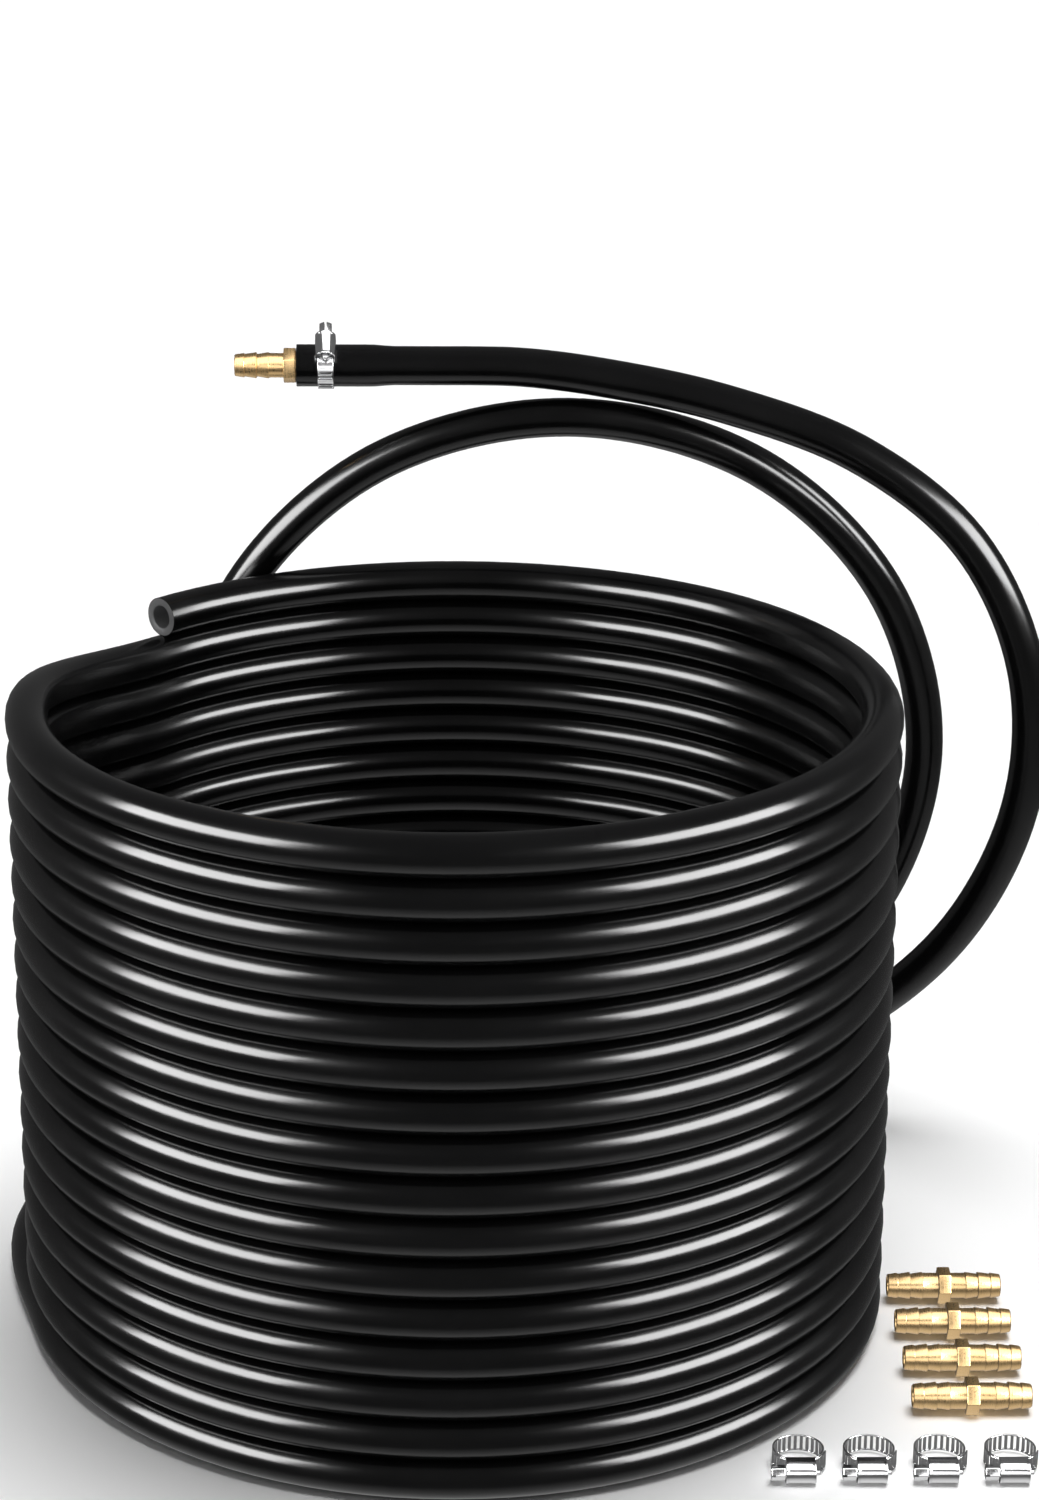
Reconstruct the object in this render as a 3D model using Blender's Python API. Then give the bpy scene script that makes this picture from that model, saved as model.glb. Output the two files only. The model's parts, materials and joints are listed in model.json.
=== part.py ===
"""A coil of black irrigation hose with a barbed brass splicer clamped in its free end, and the spare
splicers and worm-drive clamps that belong to it, laid out on the floor beside it.

Metres, +Z up. The floor is z = 0, and the origin is the middle of the whole set on the floor.
"""

import math

import bmesh
import bpy
from mathutils import Matrix, Vector

MM = 0.001
GAP = 0.3 * MM

# Where the coil's axis stands, so that the set is centred on the origin.
COIL_X = -37.8 * MM
COIL_Y = -20.5 * MM

# Hose: 3/8 inch bore, 5/8 inch outside.
HOSE_R = 8.0 * MM
BORE_R = 4.75 * MM
COIL_R = 162.0 * MM
LEVELS = 16
LEVEL_HEIGHT = 2 * HOSE_R
COIL_HEIGHT = LEVELS * LEVEL_HEIGHT
COIL_SIDES = 56
COIL_CHAMFER = 3.0 * MM
CUT_END_ANGLE = math.radians(137.6)
OPEN_END_SPAN = math.radians(26.0)
RAMP_SPAN = math.radians(44.0)

# The free end: a straight stretch, swollen over the barbs inside it.
END_FACE = Vector((-65.0, 150.0, 343.0)) * MM
END_LENGTH = 60.0 * MM
SWOLLEN_R = 8.6 * MM
SWOLLEN_LENGTH = 30.0 * MM
SOCKET_R = 5.6 * MM
SOCKET_DEPTH = 22.0 * MM
BORE_DEPTH = 45.0 * MM

# Splicer: barbed on both sides of a hexagon.
BARB_LENGTH = 20.0 * MM
HEX_LENGTH = 5.0 * MM
HEX_FLATS = 12.7 * MM
BARB_R = 5.3 * MM
BARB_ROOT_R = 4.6 * MM
SHANK_R = 5.0 * MM
SHANK_LENGTH = 6.0 * MM
BARB_PITCH = 5.0 * MM
SPLICER_BORE_R = 3.5 * MM
PULL_OUT = 24.0 * MM

# Worm-drive clamp. Its own frame has Z along the ring's axis, X towards the housing, Y along the screw.
BAND_R = 8.9 * MM
BAND_THICKNESS = 0.6 * MM
BAND_WIDTH = 6.4 * MM
SLOT_COUNT = 26
SLOT_FRAME = 0.5 * MM
PLAIN_ARC = math.radians(50.0)
STRAP_R = BAND_R + BAND_THICKNESS + GAP
STRAP_FROM = math.radians(-62.0)
STRAP_SLOTS = 10
SCREW_R = 2.2 * MM
SCREW_CORE_R = 1.9 * MM
SCREW_X = STRAP_R + BAND_THICKNESS + GAP + SCREW_R
HOUSING_HALF_LENGTH = 5.5 * MM
HOUSING_INNER = 3.5 * MM
HOUSING_WALL = 0.7 * MM
HOUSING_DOME_X = 12.2 * MM
HEAD_FLATS = 5.0 * MM
HEAD_LENGTH = 5.0 * MM
HEAD_SLOT_WIDTH = 0.8 * MM
HEAD_SLOT_DEPTH = 1.4 * MM
NUB_R = 0.95 * MM
NUB_LENGTH = 1.7 * MM
THREAD_PITCH = 2.4 * MM

CLAMP_FROM_END = 12.0 * MM
HOUSING_TILT = math.radians(40.0)

SPARE_CLAMP_X = [126.0 * MM, 152.0 * MM, 178.0 * MM, 204.0 * MM]
SPARE_CLAMP_Y = -140.0 * MM
SPARE_SPLICER_X = 195.0 * MM
SPARE_SPLICER_Y = [-100.0 * MM, -70.0 * MM, -40.0 * MM, -10.0 * MM]

# The free stretch of hose, from where it has left the coil's side to the fitted end, from the coil's
# axis: round the back on the floor, once round in a standing loop, then up over that loop.
ROUTE_MM = [
    (-164.9, 73.4, 8), (-143.3, 120.2, 8), (-96.5, 167.1, 8), (-44.5, 192.9, 8), (0, 201, 8.2),
    (45, 203, 8.6), (123.5, 199, 29), (181, 189, 86.5), (202, 175.5, 165), (181, 162, 243.5),
    (123.5, 152, 301), (45, 148, 322), (-33.5, 152, 301), (-91, 158, 243.5), (-112, 169, 165),
    (-91, 177, 86.5), (-33.5, 181, 29), (45, 184, 9), (105, 178, 16), (165, 165, 42),
    (213, 147, 92), (238, 132, 158), (236, 124, 222), (210, 124, 276), (165, 130, 311),
    (110, 139, 330), (60, 147, 339), (28, 149.6, 342.5), (8, 150, 343), (-5, 150, 343),
]
ROUTE_STEP = 40.0 * MM
STEPS_PER_SPAN = 60


# --- Scene and materials -------------------------------------------------------------------------


def clear_scene():
    for obj in list(bpy.data.objects):
        bpy.data.objects.remove(obj, do_unlink=True)


def make_material(name, colour, roughness, metallic):
    material = bpy.data.materials.new(name)
    material.use_nodes = True
    shader = material.node_tree.nodes["Principled BSDF"]
    shader.inputs["Base Color"].default_value = (*colour, 1.0)
    shader.inputs["Roughness"].default_value = roughness
    shader.inputs["Metallic"].default_value = metallic
    return material


def add_object(name, mesh, material, matrix=None):
    obj = bpy.data.objects.new(name, mesh)
    bpy.context.scene.collection.objects.link(obj)
    if not mesh.materials:
        mesh.materials.append(material)
    if matrix is not None:
        obj.matrix_world = matrix
    return obj


def coil_place(point):
    """A point given from the coil's axis, in world space."""
    return Vector((point[0] + COIL_X, point[1] + COIL_Y, point[2]))


# --- Mesh helpers --------------------------------------------------------------------------------


def finish_mesh(bm, name):
    bmesh.ops.remove_doubles(bm, verts=bm.verts, dist=1e-7)
    bmesh.ops.recalc_face_normals(bm, faces=bm.faces)
    mesh = bpy.data.meshes.new(name)
    bm.to_mesh(mesh)
    bm.free()
    mesh.shade_smooth()
    mesh.set_sharp_from_angle(angle=math.radians(30.0))
    return mesh


def turned_mesh(name, outline, sides, closed=True, angle=2 * math.pi):
    """Turns an outline of (radius, height) points about Z. A closed outline makes a ring."""
    bm = bmesh.new()
    verts = [bm.verts.new((radius, 0.0, height)) for radius, height in outline]
    edges = [bm.edges.new(pair) for pair in zip(verts, verts[1:])]
    if closed:
        edges.append(bm.edges.new((verts[-1], verts[0])))
    whole = angle >= 2 * math.pi
    bmesh.ops.spin(bm, geom=verts + edges, cent=(0, 0, 0), axis=(0, 0, 1), dvec=(0, 0, 0),
                   angle=angle, steps=sides, use_merge=whole, use_duplicate=False)
    if not whole:
        bmesh.ops.holes_fill(bm, edges=[edge for edge in bm.edges if edge.is_boundary], sides=0)
    return finish_mesh(bm, name)


def prism_mesh(name, outline, depth):
    """Extrudes a closed outline of (x, y) points by depth along Z."""
    bm = bmesh.new()
    face = bm.faces.new([bm.verts.new((x, y, 0.0)) for x, y in outline])
    raised = bmesh.ops.extrude_face_region(bm, geom=[face])["geom"]
    moved = [item for item in raised if isinstance(item, bmesh.types.BMVert)]
    bmesh.ops.translate(bm, verts=moved, vec=(0.0, 0.0, depth))
    return finish_mesh(bm, name)


def polygon(sides, across_flats):
    radius = across_flats / 2 / math.cos(math.pi / sides)
    return [(radius * math.cos(2 * math.pi * i / sides), radius * math.sin(2 * math.pi * i / sides))
            for i in range(sides)]


def combine(name, base, steps):
    """Applies Booleans to base: each step is (operation, mesh, matrix). Gives back the new mesh."""
    obj = bpy.data.objects.new(name, base)
    bpy.context.scene.collection.objects.link(obj)
    helpers = [obj]
    for operation, mesh, matrix in steps:
        cutter = bpy.data.objects.new(name + "_cutter", mesh)
        bpy.context.scene.collection.objects.link(cutter)
        cutter.matrix_world = matrix
        helpers.append(cutter)
        modifier = obj.modifiers.new("combine", "BOOLEAN")
        modifier.operation = operation
        modifier.object = cutter
    bpy.context.view_layer.update()
    graph = bpy.context.evaluated_depsgraph_get()
    mesh = bpy.data.meshes.new_from_object(obj.evaluated_get(graph))
    mesh.name = name
    for helper in helpers:
        bpy.data.objects.remove(helper, do_unlink=True)
    return mesh


# --- Hose ----------------------------------------------------------------------------------------


def coil_mesh():
    """The outer shape of the wound coil, with room at its top for the open end and the last step down."""
    low, high = COIL_R - HOSE_R, COIL_R + HOSE_R
    chamfer = COIL_CHAMFER
    outline = [
        (low + chamfer, 0.0), (high - chamfer, 0.0), (high, chamfer), (high, COIL_HEIGHT - chamfer),
        (high - chamfer, COIL_HEIGHT), (low + chamfer, COIL_HEIGHT), (low, COIL_HEIGHT - chamfer),
        (low, chamfer),
    ]
    ring = turned_mesh("coil_ring", outline, COIL_SIDES)
    inner, outer = low - 5 * MM, high + 5 * MM
    bottom = COIL_HEIGHT - LEVEL_HEIGHT
    wedge = [(inner, bottom), (outer, bottom), (outer, COIL_HEIGHT + 5 * MM), (inner, COIL_HEIGHT + 5 * MM)]
    cutter = turned_mesh("coil_notch", wedge, 10, angle=OPEN_END_SPAN + RAMP_SPAN)
    return combine("hose_coil", ring,
                   [("DIFFERENCE", cutter, Matrix.Rotation(CUT_END_ANGLE - OPEN_END_SPAN, 4, "Z"))])


def tube_outline(radius):
    """The hose's round section, beside the coil's axis."""
    sides = 12
    return [(COIL_R + radius * math.cos(2 * math.pi * i / sides), radius * math.sin(2 * math.pi * i / sides))
            for i in range(sides)]


def open_end_mesh():
    """The last stretch of the top turn, open at the cut, with the bore running through it."""
    start = CUT_END_ANGLE - OPEN_END_SPAN + GAP / COIL_R
    span = CUT_END_ANGLE - start
    past = math.radians(2.0)
    tube = turned_mesh("open_end_tube", tube_outline(HOSE_R - GAP), 6, angle=span)
    tube.transform(Matrix.Rotation(start, 4, "Z"))
    bore = turned_mesh("open_end_bore", tube_outline(BORE_R), 6, angle=span + 2 * past)
    return combine("hose_open_end", tube, [("DIFFERENCE", bore, Matrix.Rotation(start - past, 4, "Z"))])


def smooth_points(points, per_span):
    """A smooth curve through the points: Catmull-Rom spans on chord-length parameters."""
    padded = [2 * points[0] - points[1], *points, 2 * points[-1] - points[-2]]
    curve = []
    for a, b, c, d in zip(padded, padded[1:], padded[2:], padded[3:]):
        t0, t1 = 0.0, math.sqrt((b - a).length)
        t2 = t1 + math.sqrt((c - b).length)
        t3 = t2 + math.sqrt((d - c).length)
        for step in range(per_span):
            t = t1 + (t2 - t1) * step / per_span
            p = a.lerp(b, (t - t0) / (t1 - t0))
            q = b.lerp(c, (t - t1) / (t2 - t1))
            r = c.lerp(d, (t - t2) / (t3 - t2))
            first = p.lerp(q, (t - t0) / (t2 - t0))
            second = q.lerp(r, (t - t1) / (t3 - t1))
            curve.append(first.lerp(second, (t - t1) / (t2 - t1)))
    curve.append(points[-1].copy())
    return curve


def evenly_spaced(curve, step):
    """Points along the curve about one step apart, both ends kept."""
    lengths = [0.0]
    for a, b in zip(curve, curve[1:]):
        lengths.append(lengths[-1] + (b - a).length)
    count = round(lengths[-1] / step)
    found = []
    index = 0
    for i in range(count + 1):
        target = lengths[-1] * i / count
        while index < len(curve) - 2 and lengths[index + 1] < target:
            index += 1
        share = (target - lengths[index]) / (lengths[index + 1] - lengths[index])
        found.append(curve[index].lerp(curve[index + 1], share))
    return found


def add_tail(material):
    """The free stretch as a round tube on a poly spline."""
    route = [coil_place(Vector(point) * MM) for point in ROUTE_MM]
    route[-1].x += GAP
    points = evenly_spaced(smooth_points(route, STEPS_PER_SPAN), ROUTE_STEP)
    curve = bpy.data.curves.new("hose_tail", "CURVE")
    curve.dimensions = "3D"
    curve.bevel_depth = HOSE_R - 0.05 * MM
    curve.bevel_resolution = 3
    curve.use_fill_caps = True
    spline = curve.splines.new("POLY")
    spline.points.add(len(points) - 1)
    for slot, point in zip(spline.points, points):
        slot.co = (*point, 1.0)
    curve.materials.append(material)
    obj = bpy.data.objects.new("hose_tail", curve)
    bpy.context.scene.collection.objects.link(obj)


def fitted_end_mesh():
    """The straight end of the hose: a socket for the barbs, then the plain bore. The cut face is at z = 0."""
    outline = [
        (SOCKET_R, 0.0), (SWOLLEN_R, 0.0), (SWOLLEN_R, -SWOLLEN_LENGTH),
        (HOSE_R, -SWOLLEN_LENGTH - 10 * MM), (HOSE_R, -END_LENGTH), (0.0, -END_LENGTH),
    ]
    bore = [(0.0, -BORE_DEPTH), (BORE_R, -BORE_DEPTH), (BORE_R, -SOCKET_DEPTH), (SOCKET_R, -SOCKET_DEPTH)]
    return turned_mesh("hose_fitted_end", list(reversed(outline)) + list(reversed(bore)), 20, closed=False)


# --- Splicer -------------------------------------------------------------------------------------


def barb_outline():
    """(radius, height) from the hexagon's face to the tip: a shank, then cones that widen towards the hexagon."""
    base = HEX_LENGTH / 2
    points = [(SHANK_R, base), (SHANK_R, base + SHANK_LENGTH)]
    height = base + SHANK_LENGTH
    while height + BARB_PITCH < base + BARB_LENGTH:
        points.append((BARB_R, height + 0.2 * MM))
        height += BARB_PITCH
        points.append((BARB_ROOT_R, height))
    points.append((BARB_R - 0.3 * MM, height + 0.2 * MM))
    points.append((BARB_ROOT_R - 0.2 * MM, base + BARB_LENGTH))
    return points


def splicer_mesh():
    side = barb_outline()
    other = [(radius, -height) for radius, height in side]
    tip = side[-1][1]
    outline = [(0.0, -tip), *reversed(other), *side, (0.0, tip)]
    body = turned_mesh("splicer_body", outline, 16, closed=False)
    hexagon = prism_mesh("splicer_hexagon", polygon(6, HEX_FLATS), HEX_LENGTH)
    bore_depth = 2 * tip + 4 * MM
    bore = prism_mesh("splicer_bore", polygon(16, 2 * SPLICER_BORE_R), bore_depth)
    return combine("splicer", body, [
        ("UNION", hexagon, Matrix.Translation((0, 0, -HEX_LENGTH / 2))),
        ("DIFFERENCE", bore, Matrix.Translation((0, 0, -bore_depth / 2))),
    ])


# --- Clamp ---------------------------------------------------------------------------------------


def slotted_strip_mesh(name, radius, first_angle, slots, plain_arc):
    """A curved strip with a window in each segment that lies outside the plain arc around X."""
    step = 2 * math.pi / SLOT_COUNT
    closed = slots == SLOT_COUNT
    bm = bmesh.new()
    count = slots if closed else slots + 1
    columns = []
    for i in range(count):
        angle = first_angle + i * step
        x, y = radius * math.cos(angle), radius * math.sin(angle)
        columns.append([bm.verts.new((x, y, z)) for z in (-BAND_WIDTH / 2, BAND_WIDTH / 2)])
    windows = []
    for i in range(slots):
        low, high = columns[i], columns[(i + 1) % count]
        face = bm.faces.new((low[0], high[0], high[1], low[1]))
        middle = first_angle + (i + 0.5) * step
        if abs(math.remainder(middle, 2 * math.pi)) > plain_arc:
            windows.append(face)
    bmesh.ops.recalc_face_normals(bm, faces=bm.faces)
    bmesh.ops.inset_individual(bm, faces=windows, thickness=SLOT_FRAME, depth=0.0)
    bmesh.ops.delete(bm, geom=windows, context="FACES_ONLY")
    bmesh.ops.solidify(bm, geom=list(bm.faces), thickness=-BAND_THICKNESS)
    return finish_mesh(bm, name)


def arch(half_width):
    """One arch of the housing in (x, z): up one side, over the dome, down the other."""
    steps = 6
    points = []
    for i in range(steps + 1):
        angle = math.pi * i / steps
        points.append((HOUSING_DOME_X + half_width * math.sin(angle), -half_width * math.cos(angle)))
    return [(BAND_R, -half_width), *points, (BAND_R, half_width)]


def housing_mesh():
    """A pressed steel tunnel, open at both ends, whose side walls reach down past the band's edges."""
    outline = arch(HOUSING_INNER + HOUSING_WALL) + list(reversed(arch(HOUSING_INNER)))
    mesh = prism_mesh("clamp_housing", outline, 2 * HOUSING_HALF_LENGTH)
    mesh.transform(Matrix.Rotation(math.radians(90.0), 4, "X") @ Matrix.Translation((0, 0, -HOUSING_HALF_LENGTH)))
    return mesh


def screw_mesh():
    """The worm screw: threaded core, slotted hexagon head towards -Y, plain nub towards +Y."""
    end = HOUSING_HALF_LENGTH
    outline = [(0.0, -end - GAP), (SCREW_CORE_R, -end - GAP)]
    ridge = -end + 0.8 * MM
    while ridge < end - 1.5 * MM:
        outline += [(SCREW_CORE_R, ridge), (SCREW_R, ridge + 0.5 * MM), (SCREW_R, ridge + 0.8 * MM),
                    (SCREW_CORE_R, ridge + 1.3 * MM)]
        ridge += THREAD_PITCH
    outline += [(SCREW_CORE_R, end - 0.2 * MM), (NUB_R, end), (NUB_R, end + NUB_LENGTH), (0.0, end + NUB_LENGTH)]
    core = turned_mesh("screw_core", outline, 12, closed=False)
    head = prism_mesh("screw_head", polygon(6, HEAD_FLATS), HEAD_LENGTH)
    top = -end - GAP - HEAD_LENGTH
    width = HEAD_SLOT_WIDTH / 2
    reach = HEAD_FLATS
    slot = prism_mesh("screw_slot", [(-reach, -width), (reach, -width), (reach, width), (-reach, width)],
                      2 * HEAD_SLOT_DEPTH)
    overlap = 0.4 * MM
    mesh = combine("clamp_screw", core, [
        ("UNION", head, Matrix.Translation((0, 0, top + overlap - GAP))),
        ("DIFFERENCE", slot, Matrix.Translation((0, 0, top + overlap - GAP - HEAD_SLOT_DEPTH))),
    ])
    mesh.transform(Matrix.Translation((SCREW_X, 0, 0)) @ Matrix.Rotation(math.radians(-90.0), 4, "X"))
    return mesh


def add_clamp(name, meshes, place, material):
    """One clamp on an empty on its ring's axis. The screw's own empty lies on the screw's axis."""
    centre = bpy.data.objects.new(name, None)
    bpy.context.scene.collection.objects.link(centre)
    centre.matrix_world = place
    for part, mesh in meshes.items():
        add_object(f"{name}_{part}", mesh, material, place).parent = centre
        bpy.data.objects[f"{name}_{part}"].matrix_parent_inverse = place.inverted()


# --- Assembly ------------------------------------------------------------------------------------


def frame_matrix(x_axis, z_axis, origin):
    """A placement from the directions of its X and Z axes."""
    y_axis = z_axis.cross(x_axis)
    matrix = Matrix((x_axis, y_axis, z_axis)).transposed().to_4x4()
    matrix.translation = origin
    return matrix


clear_scene()
rubber = make_material("black_hose", (0.012, 0.012, 0.013), 0.28, 0.0)
brass = make_material("brass", (0.83, 0.60, 0.26), 0.25, 1.0)
steel = make_material("stainless_steel", (0.78, 0.78, 0.79), 0.22, 1.0)

# The hose.
ring_place = Matrix.Translation(coil_place((0, 0, 0)))
top_place = Matrix.Translation(coil_place((0, 0, COIL_HEIGHT - HOSE_R)))
add_object("hose_coil", coil_mesh(), rubber, ring_place)
add_object("hose_open_end", open_end_mesh(), rubber, top_place)
add_tail(rubber)
end_place = frame_matrix(Vector((0, 0, 1)), Vector((-1, 0, 0)), coil_place(END_FACE))
add_object("hose_fitted_end", fitted_end_mesh(), rubber, end_place)

# The splicers: one pushed into the hose up to its hexagon, the others lying on the floor.
splicer = splicer_mesh()
fitted_at = coil_place(END_FACE) - Vector((HEX_LENGTH / 2 + GAP, 0, 0))
add_object("fitted_splicer", splicer, brass, frame_matrix(Vector((0, 0, 1)), Vector((-1, 0, 0)), fitted_at))
for number, y in enumerate(SPARE_SPLICER_Y, 1):
    spot = coil_place((SPARE_SPLICER_X, y, HEX_FLATS / 2))
    place = frame_matrix(Vector((0, 1, 0)), Vector((1, 0, 0)), spot)
    add_object(f"spare_splicer_{number}", splicer, brass, place)

# The clamps: one on the hose end, its housing up and to the front, the others lying on the floor.
clamp_meshes = {
    "band": slotted_strip_mesh("clamp_band", BAND_R, 0.0, SLOT_COUNT, PLAIN_ARC),
    "strap": slotted_strip_mesh("clamp_strap", STRAP_R, STRAP_FROM, STRAP_SLOTS, -1.0),
    "housing": housing_mesh(),
    "screw": screw_mesh(),
}
upward = Vector((0, -math.sin(HOUSING_TILT), math.cos(HOUSING_TILT)))
fitted_clamp_at = coil_place(END_FACE + Vector((CLAMP_FROM_END, 0, 0)))
add_clamp("fitted_clamp", clamp_meshes, frame_matrix(upward, Vector((1, 0, 0)), fitted_clamp_at), steel)
lying_height = HOUSING_INNER + HOUSING_WALL
for number, x in enumerate(SPARE_CLAMP_X, 1):
    spot = coil_place((x, SPARE_CLAMP_Y, lying_height))
    add_clamp(f"spare_clamp_{number}", clamp_meshes, frame_matrix(Vector((0, -1, 0)), Vector((0, 0, 1)), spot),
              steel)
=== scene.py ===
# %% [markdown]
# # A coil of garden hose with its splicers and clamps
#
# The set is sixty feet of black hose wound in sixteen level turns, a brass splicer clamped into its free
# end, and the spare splicers and worm-drive clamps that come with it. The rigid frame of the set is loaded
# first, and every piece made below is laid over it in the same place: a lesson in making a long tube on a
# path, in turning small fittings, and in finishing plastic, brass and steel.

import json
import math

import bmesh
import bpy
from mathutils import Matrix, Vector


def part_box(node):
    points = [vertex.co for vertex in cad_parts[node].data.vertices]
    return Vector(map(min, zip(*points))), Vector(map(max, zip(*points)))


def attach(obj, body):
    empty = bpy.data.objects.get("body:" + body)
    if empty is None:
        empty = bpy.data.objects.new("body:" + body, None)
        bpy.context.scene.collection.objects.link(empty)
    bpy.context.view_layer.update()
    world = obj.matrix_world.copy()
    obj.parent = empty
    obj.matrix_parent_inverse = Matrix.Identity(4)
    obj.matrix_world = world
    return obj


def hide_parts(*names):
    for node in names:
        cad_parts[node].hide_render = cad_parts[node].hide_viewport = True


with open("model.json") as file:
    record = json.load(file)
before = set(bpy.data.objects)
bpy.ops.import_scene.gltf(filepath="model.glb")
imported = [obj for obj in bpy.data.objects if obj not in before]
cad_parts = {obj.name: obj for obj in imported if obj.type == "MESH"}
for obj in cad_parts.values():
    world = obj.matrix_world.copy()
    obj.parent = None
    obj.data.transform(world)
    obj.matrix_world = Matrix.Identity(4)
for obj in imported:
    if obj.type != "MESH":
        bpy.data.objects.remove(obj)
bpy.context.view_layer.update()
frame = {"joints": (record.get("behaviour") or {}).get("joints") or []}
joints = {joint["name"]: joint for joint in frame["joints"]}
MM = 0.001

# %% [markdown]
# ## The camera
#
# A long lens stands a metre and a half away, looking down at the coil by 23 degrees. The coil fills the
# lower part of the tall picture and the free end rises above it, so after aiming at the coil's middle the
# camera is tipped up and turned a little. Turning it keeps the lens shift at zero, which suits every other
# view of the set too.

# %% Camera
COIL_AXIS = Vector((-37.8, -20.5, 0.0)) * MM
AIM_HEIGHT = 128 * MM
CAMERA_DISTANCE = 1.5
LENS_MM = 92.0
LOOK_DOWN = math.radians(23.0)
TIP_UP = math.radians(3.65)
TURN_RIGHT = math.radians(0.96)

aim = COIL_AXIS + Vector((0, 0, AIM_HEIGHT))
towards_camera = Vector((0, -math.cos(LOOK_DOWN), math.sin(LOOK_DOWN)))
camera_data = bpy.data.cameras.new("camera")
camera_data.lens = LENS_MM
camera = bpy.data.objects.new("camera", camera_data)
bpy.context.scene.collection.objects.link(camera)
square_on = (-towards_camera).to_track_quat("-Z", "Y").to_matrix().to_4x4()
turned = square_on @ Matrix.Rotation(-TURN_RIGHT, 4, "Y") @ Matrix.Rotation(TIP_UP, 4, "X")
camera.matrix_world = Matrix.Translation(aim + towards_camera * CAMERA_DISTANCE) @ turned
bpy.context.scene.camera = camera
print("camera stands at", [round(value, 3) for value in camera.location])

# %% [markdown]
# ## The studio
#
# Black glossy hose shows only what it reflects. Two tall soft boxes, one at each side and a little towards
# the camera, give the streak down the middle of every turn at the left and the right of the coil, while
# nothing bright stands straight in front, so the middle stays dark. They are seen only in reflections. A
# very soft sun overhead lights the floor evenly. Two more boxes, above and ahead, are there for the metal
# fittings alone, which would look dull without them. The floor is one plain pale plane. It and the sun are
# kept out of the reflections, and the sky grows brighter downwards in place of the floor.

# %% Floor, lamps and sky
FLOOR_SIZE = 30.0


def add_lamp(name, place, look_at, width, height, power):
    """A rectangular area lamp facing a point, which shows in reflections but lights no matt surface."""
    data = bpy.data.lights.new(name, "AREA")
    data.shape = "RECTANGLE"
    data.size = width
    data.size_y = height
    data.energy = power
    lamp = bpy.data.objects.new(name, data)
    bpy.context.scene.collection.objects.link(lamp)
    place = Vector(place)
    facing = (Vector(look_at) - place).to_track_quat("-Z", "Y").to_matrix().to_4x4()
    lamp.matrix_world = Matrix.Translation(place) @ facing
    lamp.visible_diffuse = False
    return lamp


floor_bm = bmesh.new()
bmesh.ops.create_grid(floor_bm, x_segments=1, y_segments=1, size=FLOOR_SIZE / 2)
floor_mesh = bpy.data.meshes.new("floor")
floor_bm.to_mesh(floor_mesh)
floor_bm.free()
floor = bpy.data.objects.new("floor", floor_mesh)
bpy.context.scene.collection.objects.link(floor)
floor_paint = bpy.data.materials.new("pale_floor")
floor_paint.use_nodes = True
floor_shader = floor_paint.node_tree.nodes["Principled BSDF"]
floor_shader.inputs["Base Color"].default_value = (0.90, 0.90, 0.90, 1.0)
floor_shader.inputs["Roughness"].default_value = 0.9
floor_shader.inputs["Specular IOR Level"].default_value = 0.1
floor_mesh.materials.append(floor_paint)
floor.visible_glossy = False

SIDE_BOX = Vector((1.50, -0.72, 0.70))
add_lamp("left_soft_box", aim + SIDE_BOX * Vector((-1, 1, 1)), aim, 1.5, 0.9, 88)
add_lamp("right_soft_box", aim + SIDE_BOX, aim, 1.5, 0.9, 88)
fittings = bpy.data.collections.new("fittings")
above = add_lamp("fittings_box_above", aim + Vector((0.2, -0.5, 1.6)), aim, 2.6, 2.0, 38)
ahead = add_lamp("fittings_box_ahead", aim + Vector((0.5, -1.7, 0.25)), aim, 2.6, 0.8, 11)
for lamp in (above, ahead):
    lamp.light_linking.receiver_collection = fittings
sun_data = bpy.data.lights.new("soft_sun", "SUN")
sun_data.energy = 3.5
sun_data.angle = math.radians(40.0)
sun = bpy.data.objects.new("soft_sun", sun_data)
bpy.context.scene.collection.objects.link(sun)
sun.rotation_euler = (math.radians(-8.0), math.radians(6.0), 0.0)
sun.visible_glossy = False

world = bpy.data.worlds.new("studio")
bpy.context.scene.world = world
world.use_nodes = True
sky = world.node_tree
direction = sky.nodes.new("ShaderNodeTexCoord")
split = sky.nodes.new("ShaderNodeSeparateXYZ")
brightness = sky.nodes.new("ShaderNodeMapRange")
for label, value in (("From Min", -0.5), ("From Max", -1.0), ("To Min", 0.12), ("To Max", 0.8)):
    brightness.inputs[label].default_value = value
sky.links.new(direction.outputs["Generated"], split.inputs["Vector"])
sky.links.new(split.outputs["Z"], brightness.inputs["Value"])
sky.links.new(brightness.outputs["Result"], sky.nodes["Background"].inputs["Strength"])
sky.nodes["Background"].inputs["Color"].default_value = (1.0, 1.0, 1.0, 1.0)
bpy.context.scene.view_settings.view_transform = "Standard"
print("studio ready")

# %% [markdown]
# ## The hose's path
#
# Hose is drawn from the reel into a coil whose turns lie level on each other, and each turn steps down to
# the next one over a short stretch at the back left, just behind the cut end. A true helix would tilt every
# turn; level turns with one crossing place look like what a coiling machine makes. From the lowest turn the
# hose runs round the back on the floor, goes once round in a standing loop, and rises over that loop to
# the fitted end. The path is a list of points: the coil is worked out from its angle, and the free stretch
# is a smooth curve through a few chosen points.

# %% Path of the coil
HOSE_R = 8.0 * MM
COIL_R = 162.0 * MM
LEVELS = 16
LEVEL_HEIGHT = 16.0 * MM
POINTS_PER_TURN = 96
CUT_END_ANGLE = 137.6
STEP_DOWN_FROM = 312.6
LAST_ANGLE = 302.6
LEAVE_ANGLE = 39.0
LEAVE_R = 180.5 * MM
LEAVE_STEPS = 12


def ease(share):
    """Rises smoothly from 0 to 1."""
    share = min(max(share, 0.0), 1.0)
    return share * share * (3.0 - 2.0 * share)


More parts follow.
